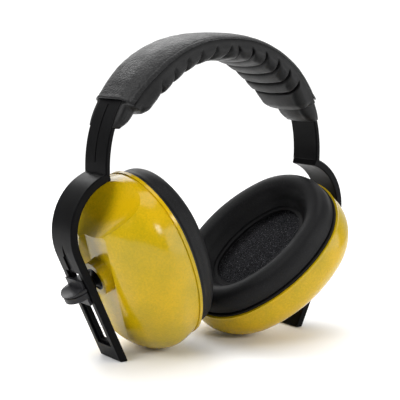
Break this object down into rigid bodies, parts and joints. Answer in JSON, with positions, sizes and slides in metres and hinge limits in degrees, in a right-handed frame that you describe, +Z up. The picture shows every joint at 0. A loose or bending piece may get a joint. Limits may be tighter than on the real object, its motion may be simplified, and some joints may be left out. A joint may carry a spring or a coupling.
{
  "type": "earmuff hearing protector",
  "caption": "Over-the-head earmuff: padded slotted headband with a thumb slider and ball-jointed oval cup with a soft ear cushion on each side.",
  "frame": {"origin": "on the surface it stands on, midway between the two feet", "axes": "+X from the left ear to the right ear, +Y from front to back, +Z up"},
  "size_m": [0.1932, 0.0897, 0.1734],
  "materials": {
    "band_plastic": "black satin moulded plastic",
    "pad_vinyl": "black grained leatherette",
    "pad_rib_vinyl": "soft black vinyl, pleated crosswise",
    "pad_foam": "soft grey foam",
    "slider_plastic": "black satin moulded plastic",
    "stud_plastic": "smooth black acetal",
    "socket_plastic": "smooth black acetal",
    "screw_steel": "zinc plated steel",
    "shell_plastic": "glossy yellow moulded plastic",
    "plate_plastic": "black moulded plastic",
    "cushion_vinyl": "smooth matte black vinyl",
    "cushion_foam": "soft foam",
    "sound_foam": "dark grey open-cell foam"
  },
  "bodies": {
    "band": {"headband": "band_plastic", "pad_cover": "pad_vinyl", "pad_skin": "pad_rib_vinyl", "pad_foam": "pad_foam"},
    "left_slider": {"left_slider_grip": "slider_plastic", "left_stud_screw": "screw_steel"},
    "left_stud": {"left_ball_stud": "stud_plastic"},
    "left_socket": {"left_socket_liner": "socket_plastic"},
    "left_cup": {"left_cup_shell": "shell_plastic", "left_sound_foam": "sound_foam", "left_cushion_plate": "plate_plastic", "left_cushion_skin": "cushion_vinyl", "left_cushion_foam": "cushion_foam"},
    "right_slider": {"right_slider_grip": "slider_plastic", "right_stud_screw": "screw_steel"},
    "right_stud": {"right_ball_stud": "stud_plastic"},
    "right_socket": {"right_socket_liner": "socket_plastic"},
    "right_cup": {"right_cup_shell": "shell_plastic", "right_sound_foam": "sound_foam", "right_cushion_plate": "plate_plastic", "right_cushion_skin": "cushion_vinyl", "right_cushion_foam": "cushion_foam"}
  },
  "joints": [
    {"name": "left_height", "type": "slide", "parent": "band", "child": "left_slider", "axis": [0.4321, 0, -0.9018], "range_m": [0, 0.0254]},
    {"name": "left_turn", "type": "hinge", "parent": "left_slider", "child": "left_stud", "pos_m": [-0.07203, 0, 0.04616], "axis": [-0.9018, 0, -0.4321], "range_deg": [-20, 38]},
    {"name": "left_tilt", "type": "hinge", "parent": "left_stud", "child": "left_socket", "pos_m": [-0.07203, 0, 0.04616], "axis": [-0.1321, 0.9521, 0.2757], "range_deg": [0, 12]},
    {"name": "left_swivel", "type": "hinge", "parent": "left_socket", "child": "left_cup", "pos_m": [-0.07203, 0, 0.04616], "axis": [-0.4114, -0.3057, 0.8587], "range_deg": [-12, 4]},
    {"name": "right_height", "type": "slide", "parent": "band", "child": "right_slider", "axis": [-0.4321, 0, -0.9018], "range_m": [-0.003, 0.0015]},
    {"name": "right_turn", "type": "hinge", "parent": "right_slider", "child": "right_stud", "pos_m": [0.06538, 0, 0.03227], "axis": [0.9018, 0, -0.4321], "range_deg": [-38, 20]},
    {"name": "right_tilt", "type": "hinge", "parent": "right_stud", "child": "right_socket", "pos_m": [0.06538, 0, 0.03227], "axis": [-0.1499, -0.9379, -0.3129], "range_deg": [-2, 30]},
    {"name": "right_swivel", "type": "hinge", "parent": "right_socket", "child": "right_cup", "pos_m": [0.06538, 0, 0.03227], "axis": [0.6868, -0.3264, 0.6495], "range_deg": [-9, 6]}
  ]
}
